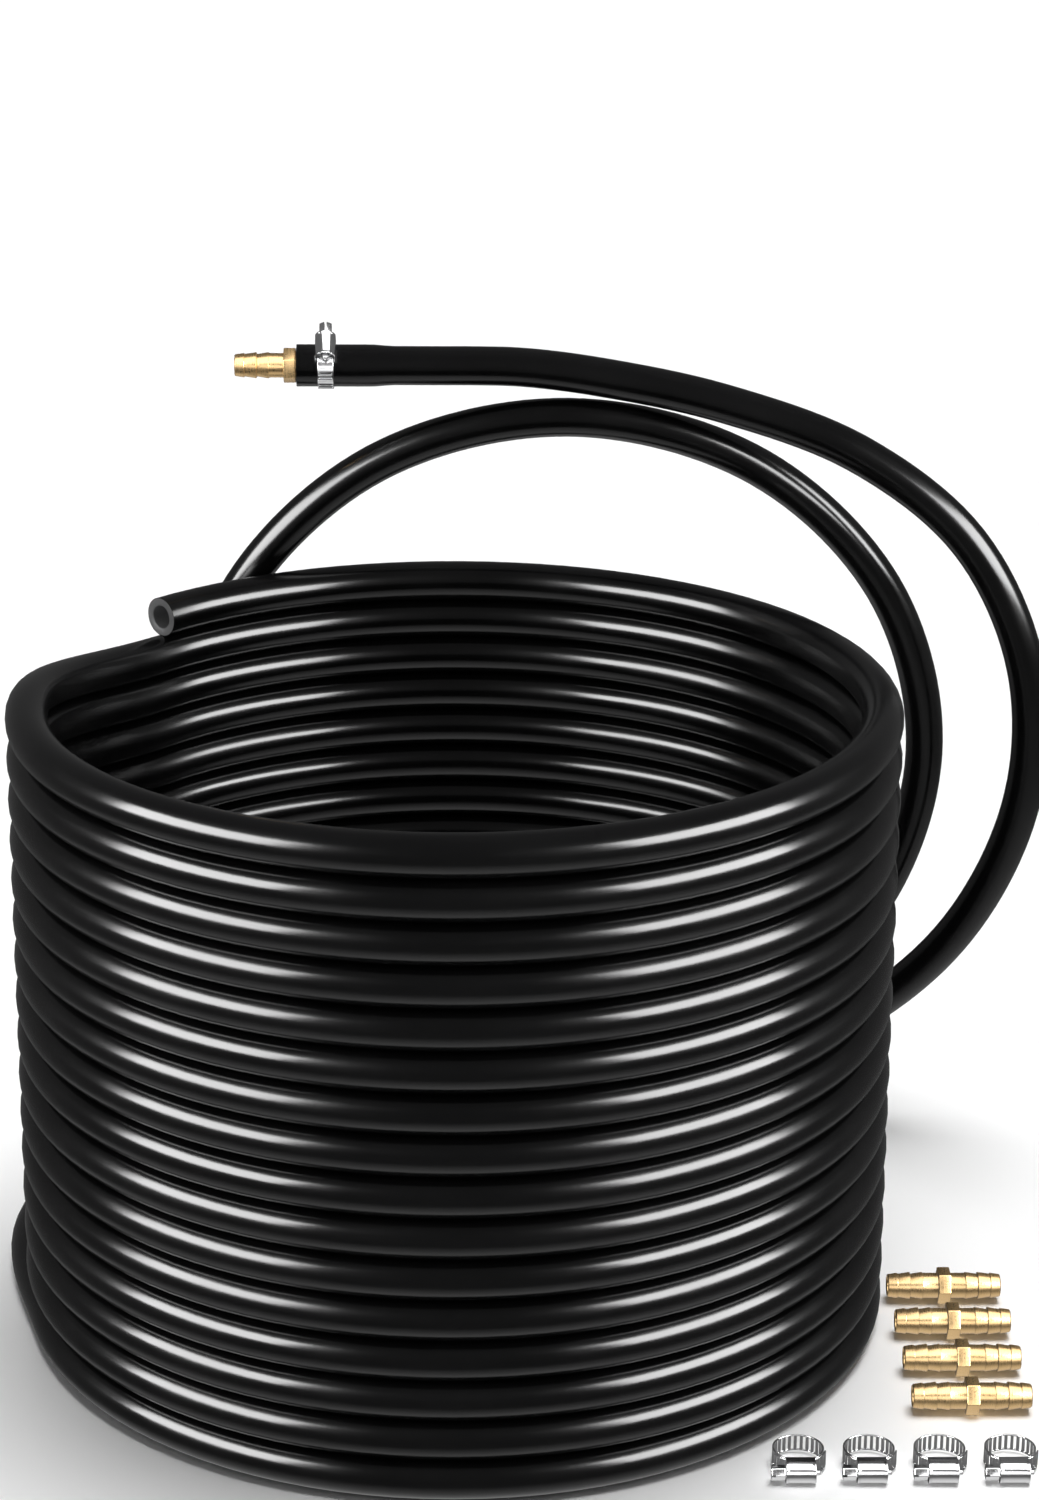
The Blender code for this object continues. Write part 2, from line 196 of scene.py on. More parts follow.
def round_coil(angle, radius, height):
    """A point of the coil, in the set's own space. The angle is in degrees, clockwise from the cut end."""
    turned_to = math.radians(CUT_END_ANGLE - angle)
    return COIL_AXIS + Vector((radius * math.cos(turned_to), radius * math.sin(turned_to), height))


def coil_points():
    """The coil from the cut end down to the floor, and out to where the free stretch starts."""
    top = LEVELS * LEVEL_HEIGHT - HOSE_R
    whole = (LEVELS - 1) * 360.0 + LAST_ANGLE
    count = round(whole / 360.0 * POINTS_PER_TURN)
    points = []
    for i in range(count + 1):
        angle = whole * i / count
        turn = min(int(angle // 360.0), LEVELS - 1)
        down = turn + ease((angle - turn * 360.0 - STEP_DOWN_FROM) / (360.0 - STEP_DOWN_FROM))
        if turn == LEVELS - 1:
            down = turn
        points.append(round_coil(angle, COIL_R, top - down * LEVEL_HEIGHT))
    for i in range(1, LEAVE_STEPS):
        share = i / LEAVE_STEPS
        radius = COIL_R + (LEAVE_R - COIL_R) * ease(share)
        points.append(round_coil(whole + LEAVE_ANGLE * share, radius, HOSE_R))
    return points


# %% Path of the free stretch
ROUTE_MM = [
    (-164.9, 73.4, 8), (-143.3, 120.2, 8), (-96.5, 167.1, 8), (-44.5, 192.9, 8), (0, 201, 8.2),
    (45, 203, 8.6), (123.5, 199, 29), (181, 189, 86.5), (202, 175.5, 165), (181, 162, 243.5),
    (123.5, 152, 301), (45, 148, 322), (-33.5, 152, 301), (-91, 158, 243.5), (-112, 169, 165),
    (-91, 177, 86.5), (-33.5, 181, 29), (45, 184, 9), (105, 178, 16), (165, 165, 42),
    (213, 147, 92), (238, 132, 158), (236, 124, 222), (210, 124, 276), (165, 130, 311),
    (110, 139, 330), (60, 147, 339), (28, 149.6, 342.5), (8, 150, 343), (-5, 150, 343),
]
ROUTE_STEP = 6.0 * MM
POINTS_PER_SPAN = 40
END_X = -65.0
END_STEP = 4.0 * MM


def smooth_points(points, per_span):
    """A smooth curve through the points: Catmull-Rom spans on chord-length parameters."""
    padded = [2 * points[0] - points[1], *points, 2 * points[-1] - points[-2]]
    curve = []
    for a, b, c, d in zip(padded, padded[1:], padded[2:], padded[3:]):
        t0, t1 = 0.0, math.sqrt((b - a).length)
        t2 = t1 + math.sqrt((c - b).length)
        t3 = t2 + math.sqrt((d - c).length)
        for step in range(per_span):
            t = t1 + (t2 - t1) * step / per_span
            p = a.lerp(b, (t - t0) / (t1 - t0))
            q = b.lerp(c, (t - t1) / (t2 - t1))
            r = c.lerp(d, (t - t2) / (t3 - t2))
            first = p.lerp(q, (t - t0) / (t2 - t0))
            second = q.lerp(r, (t - t1) / (t3 - t1))
            curve.append(first.lerp(second, (t - t1) / (t2 - t1)))
    curve.append(points[-1].copy())
    return curve


def evenly_spaced(curve, step):
    """Points along the curve about one step apart, both ends kept."""
    lengths = [0.0]
    for a, b in zip(curve, curve[1:]):
        lengths.append(lengths[-1] + (b - a).length)
    count = round(lengths[-1] / step)
    found = []
    index = 0
    for i in range(count + 1):
        target = lengths[-1] * i / count
        while index < len(curve) - 2 and lengths[index + 1] < target:
            index += 1
        share = (target - lengths[index]) / (lengths[index + 1] - lengths[index])
        found.append(curve[index].lerp(curve[index + 1], share))
    return found


route = [COIL_AXIS + Vector(point) * MM for point in ROUTE_MM]
free_points = evenly_spaced(smooth_points(route, POINTS_PER_SPAN), ROUTE_STEP)
for point in free_points:
    # The curve swings a little below its points; the hose lies on the floor there.
    point.z = max(point.z, HOSE_R)
end_face = Vector((COIL_AXIS.x + END_X * MM, route[-1].y, route[-1].z))
straight = evenly_spaced([route[-1], end_face], END_STEP)[1:]
hose_path = coil_points() + free_points + straight

# %% [markdown]
# ## The hose
#
# Extruded hose is a round tube with a smooth skin. Here a curve with a round bevel carries it along the
# path, and each point's own radius swells the last stretch over the barbs inside it. The curve becomes a
# mesh so that both ends can be given a real wall: the open rim is pulled inwards to the bore, then pushed
# down inside and closed far in. A UV map is laid along it, so that the faint lines that a die leaves can
# follow the hose.

# %% Tube on a path
SWOLLEN_R = 8.6 * MM
SWOLLEN_LENGTH = 30.0 * MM
SWELL_TAPER = 10.0 * MM
BORE_R = 4.75 * MM
SOCKET_R = 5.35 * MM
BORE_SEEN = 24.0 * MM
RIM_ROUND = 0.5 * MM
AIR_GAP = 0.03 * MM
TUBE_ROUNDNESS = 12


def hose_radius(from_end):
    """Swollen by the barbs near the fitted end, and elsewhere a hair thin, for air between level turns."""
    share = (from_end - SWOLLEN_LENGTH) / SWELL_TAPER
    return SWOLLEN_R + (HOSE_R - AIR_GAP - SWOLLEN_R) * ease(share)


def tube_mesh(name, points, radii):
    """A round tube through the points, as a mesh with open ends. Its rings keep the points' order."""
    curve = bpy.data.curves.new(name, "CURVE")
    curve.dimensions = "3D"
    curve.twist_mode = "MINIMUM"
    curve.bevel_depth = 1.0
    curve.bevel_resolution = TUBE_ROUNDNESS
    spline = curve.splines.new("POLY")
    spline.points.add(len(points) - 1)
    for slot, point, radius in zip(spline.points, points, radii):
        slot.co = (*point, 1.0)
        slot.radius = radius
    carrier = bpy.data.objects.new(name + "_carrier", curve)
    bpy.context.scene.collection.objects.link(carrier)
    bpy.context.view_layer.update()
    graph = bpy.context.evaluated_depsgraph_get()
    mesh = bpy.data.meshes.new_from_object(carrier.evaluated_get(graph))
    bpy.data.objects.remove(carrier, do_unlink=True)
    mesh.name = name
    return mesh


from_end = [0.0]
for a, b in zip(reversed(hose_path[1:]), reversed(hose_path[:-1])):
    from_end.append(from_end[-1] + (a - b).length)
from_end.reverse()
hose_mesh = tube_mesh("garden_hose", hose_path, [hose_radius(distance) for distance in from_end])
print(f"tube: {len(hose_mesh.vertices)} points for {len(hose_path)} rings")


# %% Lay a UV map along the tube, and give its ends a wall
def lay_along(bm, sides, distances):
    """UV: U goes once round the tube, and V is the distance along it in metres."""
    bm.verts.index_update()
    layer = bm.loops.layers.uv.new("along")
    for face in bm.faces:
        around = [loop.vert.index % sides for loop in face.loops]
        wraps = max(around) - min(around) > sides // 2
        for loop, side in zip(face.loops, around):
            across = side + sides if wraps and side == 0 else side
            loop[layer].uv = (across / sides, distances[loop.vert.index // sides])


def give_wall(bm, rim, inward, bore_radius):
    """Rounds the open rim over, draws it in to the bore, and closes it inside the hose."""
    centre = sum((vert.co for vert in {v for edge in rim for v in edge.verts}), Vector()) / len(rim)
    radius = (rim[0].verts[0].co - centre).length
    stages = [(0.0, radius - RIM_ROUND * 0.4), (0.0, bore_radius + RIM_ROUND * 0.5),
              (RIM_ROUND * 0.5, bore_radius), (BORE_SEEN, bore_radius)]
    edges = rim
    for stage, (depth, wanted) in enumerate(stages):
        grown = bmesh.ops.extrude_edge_only(bm, edges=edges)["geom"]
        if stage == 1:
            for face in grown:
                if isinstance(face, bmesh.types.BMFace):
                    face.material_index = 1
        verts = [item for item in grown if isinstance(item, bmesh.types.BMVert)]
        edges = [item for item in grown if isinstance(item, bmesh.types.BMEdge)]
        for vert in verts:
            out = vert.co - centre
            out -= inward * out.dot(inward)
            vert.co = centre + out.normalized() * wanted + inward * depth
        edges = [edge for edge in edges if edge.is_boundary]
    bmesh.ops.holes_fill(bm, edges=edges, sides=0)


hose_bm = bmesh.new()
hose_bm.from_mesh(hose_mesh)
sides = len(hose_bm.verts) // len(hose_path)
along = [from_end[0] - distance for distance in from_end]
lay_along(hose_bm, sides, along)
rims = [edge for edge in hose_bm.edges if edge.is_boundary]
cut_rim = [edge for edge in rims if edge.verts[0].index < sides]
fitted_rim = [edge for edge in rims if edge.verts[0].index >= sides]
give_wall(hose_bm, cut_rim, (hose_path[1] - hose_path[0]).normalized(), BORE_R)
give_wall(hose_bm, fitted_rim, (hose_path[-2] - hose_path[-1]).normalized(), SOCKET_R)
bmesh.ops.recalc_face_normals(hose_bm, faces=hose_bm.faces)
print(f"hose: {sides} sides, {len(hose_bm.faces)} faces")


# %% [markdown]
# ## One way to finish every piece
#
# Each piece's object stays at the origin and its place goes into its mesh, as the frame's own parts have
# it. Before that move, where a point sat on the piece itself is written down in an attribute, so that
# turning marks and brushing can follow the piece however it lies on the floor.


# %% Finishing helpers
def add_piece(name, bm, matrix, materials, body, replaced, sharp=32.0):
    """Places a shaped piece, smooths it but for its sharp edges, hangs it on its body, and hides the frame
    parts it replaces.
    """
    mesh = bpy.data.meshes.new(name)
    own = bm.verts.layers.float_vector.new("own_place")
    for vert in bm.verts:
        vert[own] = vert.co
    bm.to_mesh(mesh)
    bm.free()
    mesh.transform(matrix)
    mesh.shade_smooth()
    mesh.set_sharp_from_angle(angle=math.radians(sharp))
    for material in materials:
        mesh.materials.append(material)
    obj = bpy.data.objects.new(name, mesh)
    bpy.context.scene.collection.objects.link(obj)
    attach(obj, body)
    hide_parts(*replaced)
    return obj


def spun(outline, sides, closed=True):
    """An outline of (radius, height) points turned about Z, as on a lathe."""
    bm = bmesh.new()
    verts = [bm.verts.new((radius, 0.0, height)) for radius, height in outline]
    edges = [bm.edges.new(pair) for pair in zip(verts, verts[1:])]
    if closed:
        edges.append(bm.edges.new((verts[-1], verts[0])))
    bmesh.ops.spin(bm, geom=verts + edges, cent=(0, 0, 0), axis=(0, 0, 1), dvec=(0, 0, 0),
                   angle=2 * math.pi, steps=sides, use_merge=True, use_duplicate=False)
    bmesh.ops.remove_doubles(bm, verts=bm.verts, dist=1e-7)
    bmesh.ops.recalc_face_normals(bm, faces=bm.faces)
    return bm


def bar(sides, flats, length, chamfer):
    """A bar with flat sides along Z, centred, its end edges and corners broken."""
    bm = bmesh.new()
    radius = flats / 2 / math.cos(math.pi / sides)
    bmesh.ops.create_cone(bm, cap_ends=True, cap_tris=False, segments=sides, radius1=radius, radius2=radius,
                          depth=length)
    bmesh.ops.rotate(bm, verts=bm.verts, cent=(0, 0, 0), matrix=Matrix.Rotation(math.pi / sides, 3, "Z"))
    bmesh.ops.bevel(bm, geom=bm.edges[:], offset=chamfer, offset_type="OFFSET", segments=3, profile=0.5,
                    affect="EDGES", material=-1, clamp_overlap=True)
    return bm


def combined(base, steps):
    """Joins or cuts shapes: each step is an operation, a shape, and where it goes."""
    helpers = []

    def helper(bm, matrix):
        mesh = bpy.data.meshes.new("helper")
        bm.to_mesh(mesh)
        bm.free()
        obj = bpy.data.objects.new("helper", mesh)
        obj.matrix_world = matrix
        bpy.context.scene.collection.objects.link(obj)
        helpers.append(obj)
        return obj

    body = helper(base, Matrix())
    for operation, shape, matrix in steps:
        modifier = body.modifiers.new("combine", "BOOLEAN")
        modifier.operation = operation
        modifier.object = helper(shape, matrix)
    bpy.context.view_layer.update()
    graph = bpy.context.evaluated_depsgraph_get()
    mesh = bpy.data.meshes.new_from_object(body.evaluated_get(graph))
    bm = bmesh.new()
    bm.from_mesh(mesh)
    for obj in helpers:
        bpy.data.objects.remove(obj, do_unlink=True)
    bpy.data.meshes.remove(mesh)
    return bm


# %% [markdown]
# ## Shared effects for the finishes
#
# Real surfaces are never one value all over. Two small node groups are used by every material: one gives
# slow unevenness, as from cooling plastic or uneven polishing, and one gives fine lines that run one way,
# as a die, a lathe or a roller leaves them. They put out masks only, and each material decides what to do
# with them.


# %% Node groups
def new_group(name, inputs, outputs):
    """A shader node group with its sockets, its input node and its output node."""
    group = bpy.data.node_groups.new(name, "ShaderNodeTree")
    for label, kind, value in inputs:
        made = group.interface.new_socket(name=label, in_out="INPUT", socket_type=kind)
        if value is not None:
            made.default_value = value
    for label, kind in outputs:
        group.interface.new_socket(name=label, in_out="OUTPUT", socket_type=kind)
    return group, group.nodes.new("NodeGroupInput"), group.nodes.new("NodeGroupOutput")


def make_unevenness():
    """Slow cloudy variation, from 0 to 1, and a second finer one."""
    group, given, out = new_group(
        "unevenness",
        [("Vector", "NodeSocketVector", None), ("Scale", "NodeSocketFloat", 20.0)],
        [("Slow", "NodeSocketFloat"), ("Fine", "NodeSocketFloat")],
    )
    slow = group.nodes.new("ShaderNodeTexNoise")
    slow.inputs["Detail"].default_value = 3.0
    faster = group.nodes.new("ShaderNodeMath")
    faster.operation = "MULTIPLY"
    faster.inputs[1].default_value = 14.0
    fine = group.nodes.new("ShaderNodeTexNoise")
    fine.inputs["Detail"].default_value = 5.0
    fine.inputs["Roughness"].default_value = 0.65
    link = group.links.new
    link(given.outputs["Vector"], slow.inputs["Vector"])
    link(given.outputs["Vector"], fine.inputs["Vector"])
    link(given.outputs["Scale"], slow.inputs["Scale"])
    link(given.outputs["Scale"], faster.inputs[0])
    link(faster.outputs[0], fine.inputs["Scale"])
    link(slow.outputs["Fac"], out.inputs["Slow"])
    link(fine.outputs["Fac"], out.inputs["Fine"])
    return group


def make_lines():
    """Fine lines: noise squeezed by the Stretch vector, so that it runs long where Stretch is small."""
    group, given, out = new_group(
        "fine_lines",
        [("Vector", "NodeSocketVector", None), ("Stretch", "NodeSocketVector", (1.0, 1.0, 1.0)),
         ("Scale", "NodeSocketFloat", 1000.0)],
        [("Lines", "NodeSocketFloat")],
    )
    squeeze = group.nodes.new("ShaderNodeVectorMath")
    squeeze.operation = "MULTIPLY"
    noise = group.nodes.new("ShaderNodeTexNoise")
    noise.inputs["Detail"].default_value = 4.0
    noise.inputs["Roughness"].default_value = 0.7
    link = group.links.new
    link(given.outputs["Vector"], squeeze.inputs[0])
    link(given.outputs["Stretch"], squeeze.inputs[1])
    link(squeeze.outputs[0], noise.inputs["Vector"])
    link(given.outputs["Scale"], noise.inputs["Scale"])
    link(noise.outputs["Fac"], out.inputs["Lines"])
    return group


unevenness = make_unevenness()
fine_lines = make_lines()
print("node groups:", unevenness.name, fine_lines.name)


# %% [markdown]
# ## The finishes
#
# The hose is black polyethylene: almost no colour of its own, a soft gloss, faint lines along it from the
# die, and a slow waviness that breaks up a reflection. The splicers are turned brass with bright rings left
# by the tool. The clamps are pressed from bright rolled stainless steel, with rolling lines round the band.
# Each is one Principled shader whose roughness, colour and bump come from the shared groups.


# %% Material helpers
class Finish:
    """A material in the making: one Principled shader and short ways to wire masks into it."""

    def __init__(self, name):
        self.material = bpy.data.materials.new(name)
        self.material.use_nodes = True
        self.tree = self.material.node_tree
        self.shader = self.tree.nodes["Principled BSDF"]
        self.link = self.tree.links.new

    def set(self, socket, value):
        self.shader.inputs[socket].default_value = value

    def group(self, tree, vector, **values):
        node = self.tree.nodes.new("ShaderNodeGroup")
        node.node_tree = tree
        self.link(vector, node.inputs["Vector"])
        for label, value in values.items():
            node.inputs[label].default_value = value
        return node

    def ramp(self, source, low, high, start=0.3, end=0.7):
        """The mask stretched from start..end to low..high."""
        node = self.tree.nodes.new("ShaderNodeMapRange")
        for label, value in (("From Min", start), ("From Max", end), ("To Min", low), ("To Max", high)):
            node.inputs[label].default_value = value
        self.link(source, node.inputs["Value"])
        return node.outputs["Result"]

    def add(self, first, second):
        node = self.tree.nodes.new("ShaderNodeMath")
        node.operation = "ADD"
        self.link(first, node.inputs[0])
        self.link(second, node.inputs[1])
        return node.outputs[0]

    def tint(self, mask, first, second):
        """Base colour mixed between two colours by a mask."""
        node = self.tree.nodes.new("ShaderNodeMix")
        node.data_type = "RGBA"
        node.inputs["A"].default_value = (*first, 1.0)
        node.inputs["B"].default_value = (*second, 1.0)
        self.link(mask, node.inputs["Factor"])
        self.link(node.outputs["Result"], self.shader.inputs["Base Color"])

    def bump(self, height, distance, strength=1.0):
        node = self.tree.nodes.new("ShaderNodeBump")
        node.inputs["Distance"].default_value = distance
        node.inputs["Strength"].default_value = strength
        self.link(height, node.inputs["Height"])
        self.link(node.outputs["Normal"], self.shader.inputs["Normal"])

    def attribute(self, name):
        node = self.tree.nodes.new("ShaderNodeAttribute")
        node.attribute_name = name
        return node.outputs["Vector"]

    def coordinates(self, kind):
        return self.tree.nodes.new("ShaderNodeTexCoord").outputs[kind]


# %% Black hose
def make_black_hose():
    finish = Finish("black_hose_skin")
    around = finish.coordinates("UV")
    place = finish.coordinates("Object")
    die_lines = finish.group(fine_lines, around, Stretch=(1.0, 0.25, 1.0), Scale=48.0)
    cloud = finish.group(unevenness, place, Scale=28.0)
    finish.set("Specular IOR Level", 0.42)
    finish.tint(cloud.outputs["Slow"], (0.0025, 0.0025, 0.0027), (0.0045, 0.0045, 0.0047))
    rough = finish.add(finish.ramp(cloud.outputs["Slow"], 0.17, 0.23),
                       finish.ramp(die_lines.outputs["Lines"], -0.02, 0.03))
    finish.link(rough, finish.shader.inputs["Roughness"])
    height = finish.add(finish.ramp(die_lines.outputs["Lines"], 0.0, 0.08),
                        finish.ramp(cloud.outputs["Slow"], 0.0, 1.0))
    finish.bump(height, 0.00006, 0.35)
    return finish.material


# %% Freshly cut hose
def make_cut_hose():
    """A knife leaves the plastic paler and rougher than its moulded skin."""
    finish = Finish("cut_hose_face")
    place = finish.coordinates("Object")
    cloud = finish.group(unevenness, place, Scale=160.0)
    finish.set("Specular IOR Level", 0.3)
    finish.tint(cloud.outputs["Fine"], (0.15, 0.15, 0.155), (0.24, 0.24, 0.245))
    finish.link(finish.ramp(cloud.outputs["Fine"], 0.45, 0.7), finish.shader.inputs["Roughness"])
    finish.bump(cloud.outputs["Fine"], 0.00005, 0.5)
    return finish.material


# %% Turned brass
def make_brass():
    finish = Finish("turned_brass")
    own = finish.attribute("own_place")
    rings = finish.group(fine_lines, own, Stretch=(0.02, 0.02, 1.0), Scale=5200.0)
    cloud = finish.group(unevenness, own, Scale=90.0)
    finish.set("Metallic", 1.0)
    finish.tint(cloud.outputs["Slow"], (0.77, 0.50, 0.22), (0.88, 0.62, 0.32))
    rough = finish.add(finish.ramp(rings.outputs["Lines"], 0.20, 0.32),
                       finish.ramp(cloud.outputs["Fine"], 0.0, 0.08))
    finish.link(rough, finish.shader.inputs["Roughness"])
    finish.bump(rings.outputs["Lines"], 0.00001, 0.6)
    return finish.material


# %% Bright steel, rolled and pressed
def make_steel(name, stretch, low, high):
    finish = Finish(name)
    own = finish.attribute("own_place")
    lines = finish.group(fine_lines, own, Stretch=stretch, Scale=3600.0)
    cloud = finish.group(unevenness, own, Scale=120.0)
    finish.set("Metallic", 1.0)
    finish.tint(cloud.outputs["Slow"], (0.74, 0.74, 0.75), (0.86, 0.86, 0.865))
    rough = finish.add(finish.ramp(lines.outputs["Lines"], low, high),
                       finish.ramp(cloud.outputs["Fine"], 0.0, 0.06))
    finish.link(rough, finish.shader.inputs["Roughness"])
    finish.bump(lines.outputs["Lines"], 0.000006, 0.5)
    return finish.material


black_hose = make_black_hose()
cut_hose = make_cut_hose()
brass = make_brass()
band_steel = make_steel("rolled_steel", (0.03, 0.03, 1.0), 0.12, 0.24)
pressed_steel = make_steel("pressed_steel", (1.0, 0.04, 1.0), 0.08, 0.16)
screw_steel = make_steel("turned_steel", (0.05, 1.0, 0.05), 0.10, 0.20)
print("finishes:", [m.name for m in (black_hose, brass, band_steel, pressed_steel, screw_steel)])

# %% Hose into the scene
hose = add_piece("garden_hose", hose_bm, Matrix(), (black_hose, cut_hose), "hose",
                 ("hose_coil", "hose_open_end", "hose_tail", "hose_fitted_end"), sharp=50.0)
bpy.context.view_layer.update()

# %% [markdown]
# ## The splicers
#
# A barbed splicer is turned from hexagon bar: a hexagon left in the middle for gripping, and on each side a
# plain shank and a row of cones that widen towards the hexagon, so that hose goes on easily and not off.
# The outline is turned on its axis, the hexagon joined to it, and the bore cut through with a small flare
# at each mouth.

# %% Splicer shape
HEX_LENGTH = 5.0 * MM
HEX_FLATS = 12.7 * MM
BARB_LENGTH = 20.0 * MM
BARB_R = 5.3 * MM
BARB_ROOT_R = 4.6 * MM
SHANK_R = 5.0 * MM
SHANK_LENGTH = 6.0 * MM
BARB_PITCH = 5.0 * MM
SPLICER_BORE_R = 3.5 * MM
LATHE_SIDES = 64


def barb_outline():
    """(radius, height) from the hexagon's middle to the tip, with small lands on the barbs' edges."""
    base = HEX_LENGTH / 2
    land = 0.15 * MM
    points = [(SHANK_R, 0.0), (SHANK_R, base + SHANK_LENGTH - 0.3 * MM)]
    height = base + SHANK_LENGTH
    while height + BARB_PITCH < base + BARB_LENGTH:
        points += [(SHANK_R + 0.1 * MM, height), (BARB_R - land, height), (BARB_R, height + land),
                   (BARB_R, height + 2 * land)]
        height += BARB_PITCH
        points.append((BARB_ROOT_R, height - 0.1 * MM))
    points += [(BARB_R - 0.4 * MM, height), (BARB_R - 0.3 * MM, height + land)]
    tip = base + BARB_LENGTH
    points += [(BARB_ROOT_R - 0.1 * MM, tip - 0.4 * MM), (BARB_ROOT_R - 0.5 * MM, tip)]
    return points


def splicer_shape():
    half = barb_outline()
    tip = half[-1][1]
    mirrored = [(radius, -height) for radius, height in reversed(half[1:])]
    body = spun([(0.0, -tip), *mirrored, *half[1:], (0.0, tip)], LATHE_SIDES, closed=False)
    flare = 0.5 * MM
    bore = spun([(0.0, -tip - MM), (SPLICER_BORE_R + flare + MM, -tip - MM), (SPLICER_BORE_R, -tip + flare),
                 (SPLICER_BORE_R, tip - flare), (SPLICER_BORE_R + flare + MM, tip + MM), (0.0, tip + MM)],
                LATHE_SIDES, closed=False)
    hexagon = bar(6, HEX_FLATS, HEX_LENGTH, 0.35 * MM)
    return combined(body, [("UNION", hexagon, Matrix()), ("DIFFERENCE", bore, Matrix())])


def lying_along(node, length_axis, side_axis):
    """Where a turned piece goes: its own Z along length_axis, at the middle of its solid's box."""
    low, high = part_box(node)
    z_axis, x_axis = Vector(length_axis), Vector(side_axis)
    matrix = Matrix((x_axis, z_axis.cross(x_axis), z_axis)).transposed().to_4x4()
    matrix.translation = (low + high) / 2
    return matrix


# %% Splicers into the scene
splicer_pattern = splicer_shape()
splicers = {"fitted_splicer": ((-1, 0, 0), (0, 0, 1))}
for number in range(1, 5):
    splicers[f"spare_splicer_{number}"] = ((1, 0, 0), (0, 1, 0))
for body, (length_axis, side_axis) in splicers.items():
    place = lying_along(body, length_axis, side_axis)
    piece = add_piece(body + "_turned", splicer_pattern.copy(), place, (brass,), body, (body,))
    fittings.objects.link(piece)
    # The spare ones stay out of the hose's reflections, where they would look like scratches.
    piece.visible_glossy = body == "fitted_splicer"
splicer_pattern.free()

# %% [markdown]
# ## The clamps
#
# A worm-drive clamp is a steel band pierced with a slot for each tooth of the worm, a domed housing pressed
# round the worm, the free end of the band running under the screw, and a screw with a slotted hexagon
# head at one end and a small nub at the other. Each clamp has its own space: Z along the ring, X towards
# the housing, and Y along the screw. The clamp's joints say where that space lies.

# %% Sizes of a clamp
BAND_R = 8.9 * MM
BAND_THICKNESS = 0.6 * MM
BAND_WIDTH = 6.4 * MM
SLOT_COUNT = 26
SLOT_RIM = 0.55 * MM
PLAIN_ARC = math.radians(50.0)
STRAP_R = 9.8 * MM
STRAP_FROM = math.radians(-62.0)
STRAP_SLOTS = 10
SCREW_X = 12.9 * MM
SCREW_R = 2.2 * MM
SCREW_CORE_R = 1.7 * MM
HOUSING_HALF_LENGTH = 5.5 * MM
HOUSING_INNER = 3.5 * MM
HOUSING_WALL = 0.7 * MM
HOUSING_DOME_X = 12.2 * MM
HEAD_FLATS = 5.0 * MM
HEAD_LENGTH = 5.0 * MM
NUB_R = 0.95 * MM
NUB_LENGTH = 1.7 * MM
THREAD_PITCH = 2.4 * MM


# %% Pierced band
def pierced_strip(radius, first_angle, slots, plain_arc):
    """A curved strip, slotted outside the plain arc: spun, pierced, then given its thickness."""
    parts = 6
    step = 2 * math.pi / SLOT_COUNT
    whole = slots == SLOT_COUNT
    bm = bmesh.new()
    half = BAND_WIDTH / 2
    heights = (-half, -half + SLOT_RIM, half - SLOT_RIM, half)
    verts = [bm.verts.new((radius, 0.0, height)) for height in heights]
    edges = [bm.edges.new(pair) for pair in zip(verts, verts[1:])]
    bmesh.ops.spin(bm, geom=verts + edges, cent=(0, 0, 0), axis=(0, 0, 1), dvec=(0, 0, 0), angle=slots * step,
                   steps=slots * parts, use_merge=whole, use_duplicate=False)
    bmesh.ops.transform(bm, matrix=Matrix.Rotation(first_angle, 4, "Z"), verts=bm.verts)
    bmesh.ops.recalc_face_normals(bm, faces=bm.faces)
    pierced = []
    for face in bm.faces:
        middle = face.calc_center_median()
        angle = math.atan2(middle.y, middle.x)
        in_pitch = ((angle - first_angle) / step) % 1.0
        in_row = abs(middle.z) < half - SLOT_RIM
        if in_row and 0.25 < in_pitch < 0.75 and abs(angle) > plain_arc:
            pierced.append(face)
    bmesh.ops.delete(bm, geom=pierced, context="FACES")
    outward = sum(face.normal.dot(face.calc_center_median()) for face in bm.faces) > 0
    if not outward:
        bmesh.ops.reverse_faces(bm, faces=bm.faces)
    bmesh.ops.solidify(bm, geom=bm.faces[:], thickness=-BAND_THICKNESS)
    bmesh.ops.recalc_face_normals(bm, faces=bm.faces)
    return bm


# %% Domed housing
def housing_arch(half_width, low_x):
    """(x, z) points of the housing's cross-section: up one wall, over the dome, down the other."""
    steps = 16
    points = [(low_x, -half_width)]
    for i in range(steps + 1):
        angle = math.pi * i / steps
        points.append((HOUSING_DOME_X + half_width * math.sin(angle), -half_width * math.cos(angle)))
    return [*points, (low_x, half_width)]


